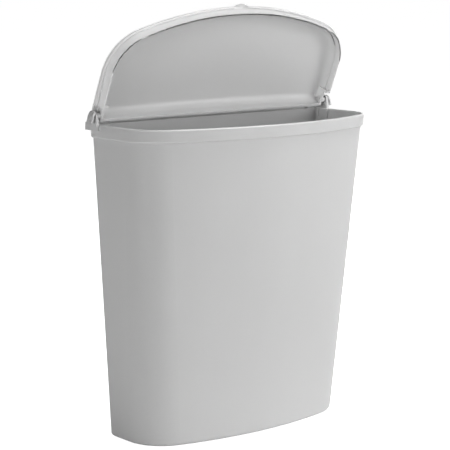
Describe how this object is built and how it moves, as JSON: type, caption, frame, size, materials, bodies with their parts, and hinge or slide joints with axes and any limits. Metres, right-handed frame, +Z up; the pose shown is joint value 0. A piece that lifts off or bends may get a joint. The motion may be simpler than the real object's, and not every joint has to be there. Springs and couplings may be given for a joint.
{
  "type": "wall-hung waste bin with flip lid",
  "caption": "Small wall-hung plastic waste bin: tapered bow-fronted tub that lifts off a screwed wall rail, with a shallow domed lid hinged at the back.",
  "frame": {"origin": "the middle of the four screw holes, on the wall's surface", "axes": "+Z up, +Y into the wall, +X to the right as a person facing the bin sees it"},
  "size_m": [0.3158, 0.1264, 0.4329],
  "materials": {
    "tub_plastic": "satin moulded polypropylene",
    "lid_plastic": "satin moulded polypropylene",
    "pin_plastic": "satin moulded nylon",
    "rail_plastic": "satin moulded polypropylene",
    "buffer_rubber": "matte"
  },
  "bodies": {
    "wall_rail": {"wall_rail": "rail_plastic"},
    "tub": {"tub": "tub_plastic", "hinge_pin_left": "pin_plastic", "hinge_pin_right": "pin_plastic", "wall_buffer_left": "buffer_rubber", "wall_buffer_right": "buffer_rubber"},
    "lid": {"lid": "lid_plastic"}
  },
  "joints": [
    {"name": "lift_off", "type": "slide", "parent": "wall_rail", "child": "tub", "axis": [0, 0, 1], "range_m": [0, 0.03]},
    {"name": "lid_hinge", "type": "hinge", "parent": "tub", "child": "lid", "pos_m": [0, -0.0175, 0.052], "axis": [-1, 0, 0], "range_deg": [-67.5, 22.5]}
  ]
}
